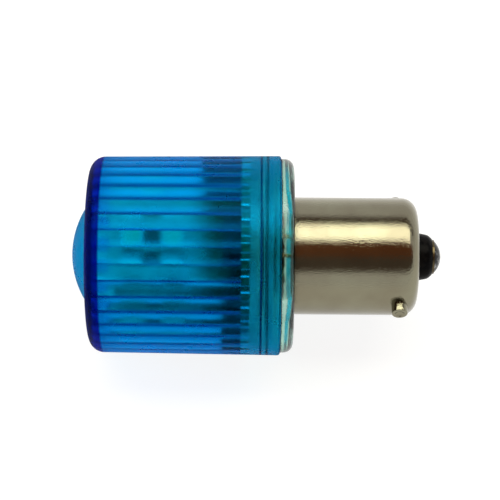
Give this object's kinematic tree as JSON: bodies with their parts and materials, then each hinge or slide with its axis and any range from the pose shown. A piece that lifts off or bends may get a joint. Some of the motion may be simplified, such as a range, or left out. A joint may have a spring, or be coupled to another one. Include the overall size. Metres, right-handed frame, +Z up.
{
  "type": "led indicator lamp",
  "caption": "Signal lamp with a blue fluted cap and domed end over a tower of surface-mount LEDs, a clear collar and a two-lug bayonet base with one centre contact.",
  "frame": {"origin": "where the lamp's axis crosses the axis of the two bayonet lugs", "axes": "+X along the lamp's axis towards the centre contact, +Y along the lugs, +Z up as the lamp lies on its side"},
  "size_m": [0.0471, 0.0254, 0.0254],
  "materials": {
    "blue_plastic": "clear blue tinted polycarbonate, polished outside, fluted inside",
    "clear_plastic": "clear polycarbonate",
    "nickel_plate": "satin nickel plate over brass",
    "black_glass": "fused black glass",
    "brass": "plain",
    "solder": "smooth tin solder",
    "green_board": "green solder mask on glass laminate",
    "white_board": "white solder mask on glass laminate",
    "led_body": "white moulded body with a clear resin window",
    "copper_lead": "tinned copper wire",
    "can_sleeve": "dark shrink sleeve",
    "black_moulding": "black moulded epoxy"
  },
  "bodies": {
    "root": {"ballast_resistor_1": "black_moulding", "ballast_resistor_2": "black_moulding", "base_board": "green_board", "bayonet_pin_1": "nickel_plate", "bayonet_pin_2": "nickel_plate", "bayonet_shell": "nickel_plate", "blue_cap": "blue_plastic", "bridge_rectifier": "black_moulding", "clear_collar": "clear_plastic", "contact_eyelet": "brass", "contact_insulator": "black_glass", "contact_lead": "copper_lead", "contact_lead_solder": "solder", "contact_solder": "solder", "led_resistor_1": "black_moulding", "led_resistor_2": "black_moulding", "reservoir_capacitor": "can_sleeve", "shell_lead": "copper_lead", "shell_lead_solder": "solder", "shell_solder": "solder", "side_led_1": "led_body", "side_led_2": "led_body", "side_led_3": "led_body", "side_led_4": "led_body", "side_led_5": "led_body", "side_led_6": "led_body", "surge_diode": "black_moulding", "top_board": "white_board", "top_led": "led_body", "tower_board_1": "white_board", "tower_board_2": "white_board", "tower_board_3": "white_board", "tower_board_4": "white_board", "tower_solder_1": "solder", "tower_solder_2": "solder", "tower_solder_3": "solder", "tower_solder_4": "solder"}
  },
  "joints": []
}
